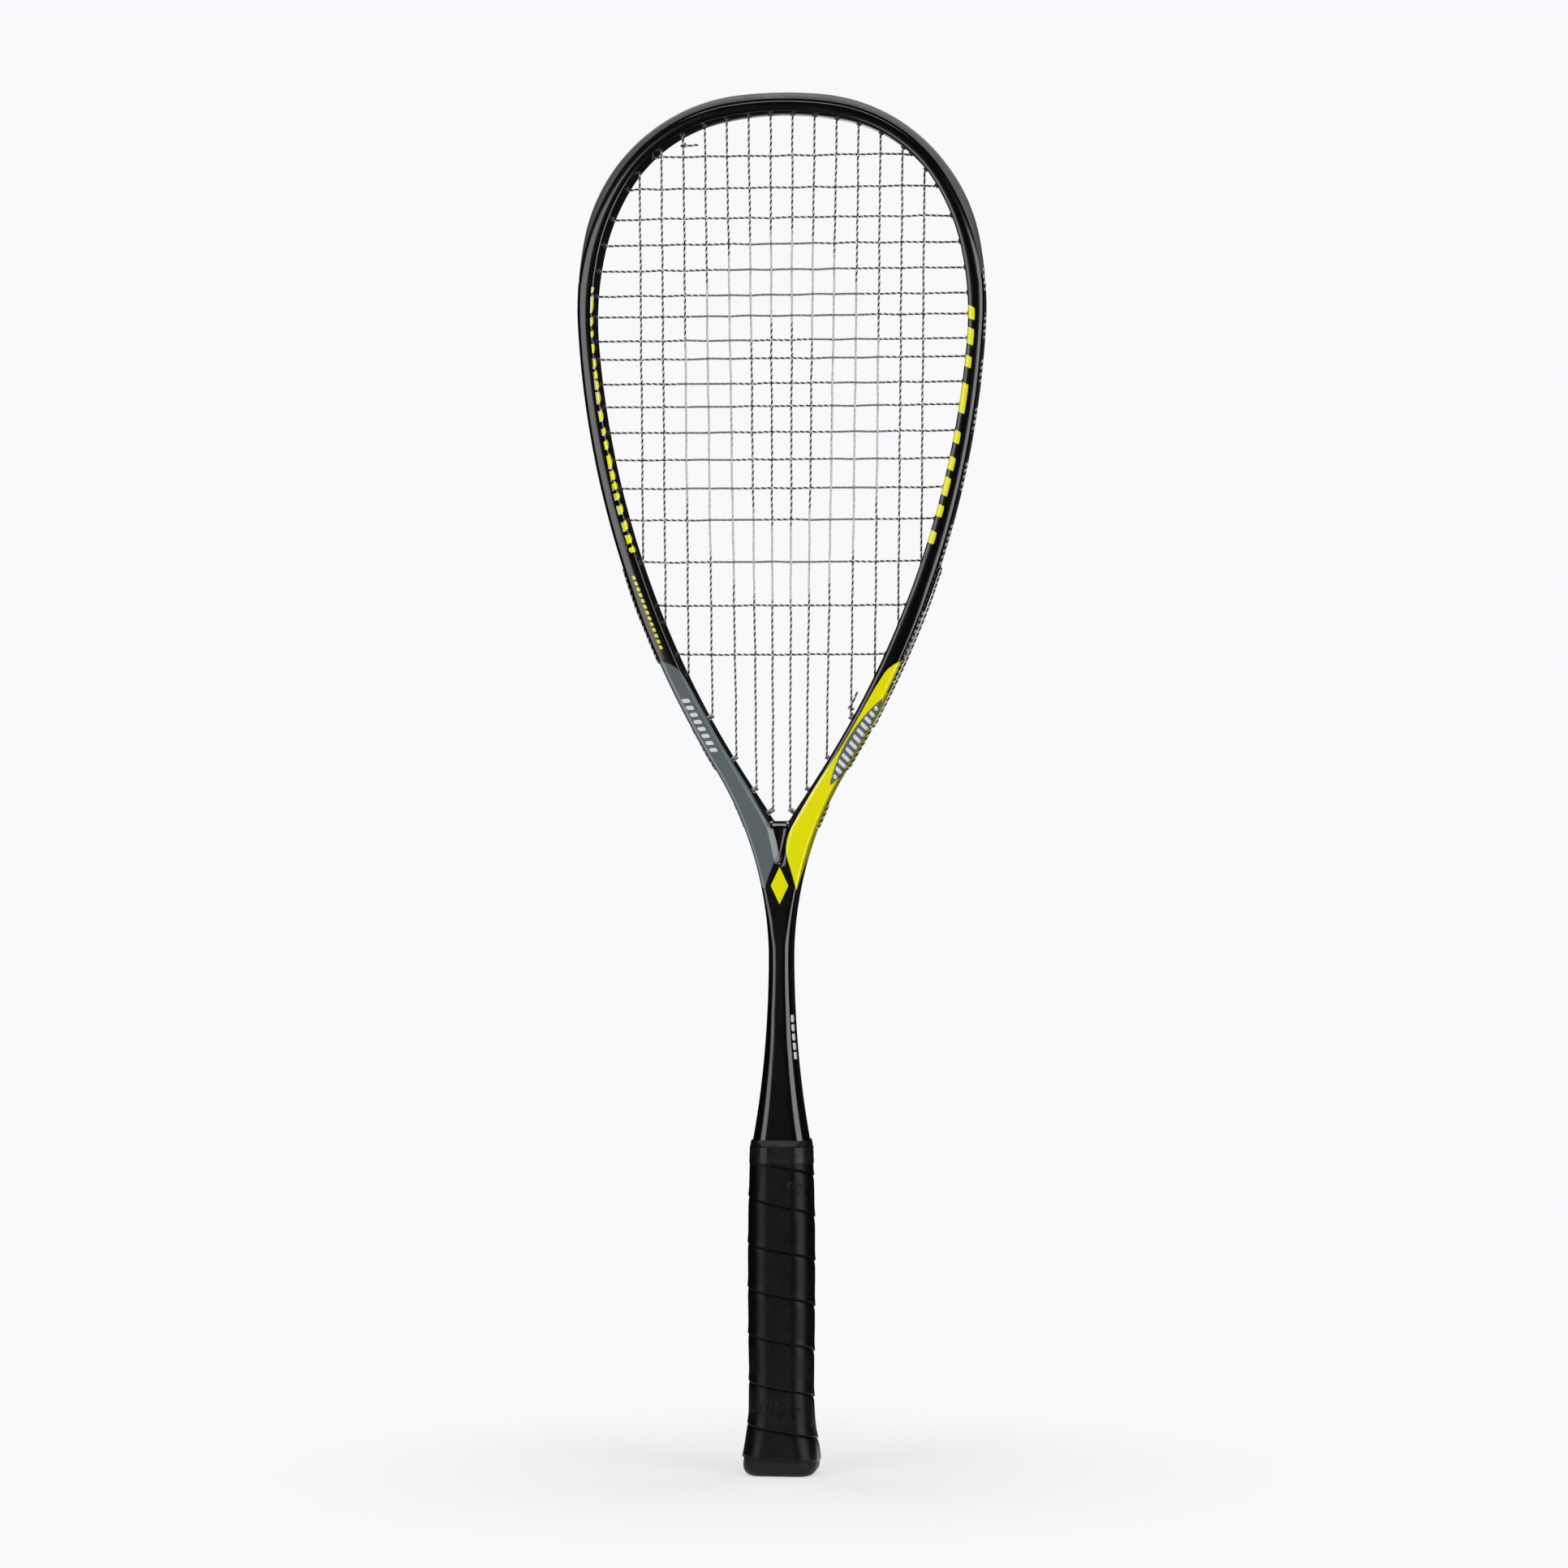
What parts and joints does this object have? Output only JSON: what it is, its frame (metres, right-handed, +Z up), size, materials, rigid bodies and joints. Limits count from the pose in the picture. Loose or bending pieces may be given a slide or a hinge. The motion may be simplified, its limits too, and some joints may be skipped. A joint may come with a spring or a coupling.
{
  "type": "squash racket",
  "caption": "Squash racket: teardrop hollow carbon head on a slim shaft, guarded top, open throat, one woven length of twisted string and a spirally taped handle.",
  "frame": {"origin": "middle of the butt's flat face, at the bottom of the handle", "axes": "+Z up the shaft to the top of the head, X across the head, Y square to the strings with the front facing -Y"},
  "size_m": [0.2047, 0.0324, 0.686],
  "materials": {
    "carbon": "gloss black lacquer over carbon fibre, one grey arm and one yellow arm",
    "guard": "matte moulded nylon, dark grey",
    "strip": "moulded nylon, black",
    "clear_tube": "translucent moulded nylon",
    "string": "twisted multifilament, black and off-white",
    "foam": "rigid moulded polyurethane foam",
    "cap": "satin moulded elastomer",
    "steel": "plain steel wire",
    "grip": "cushioned polyurethane tape with fine grain",
    "band": "gloss vinyl tape",
    "collar": "smooth elastomer"
  },
  "bodies": {
    "root": {"frame": "carbon", "bumper_guard": "guard", "grommet_strip_left": "strip", "grommet_strip_right": "strip", "throat_grommets": "clear_tube", "string": "string", "handle_pallet": "foam", "butt_cap": "cap", "butt_cap_staples": "steel", "grip_tape": "grip", "finishing_tape": "band", "grip_collar": "collar"}
  },
  "joints": []
}
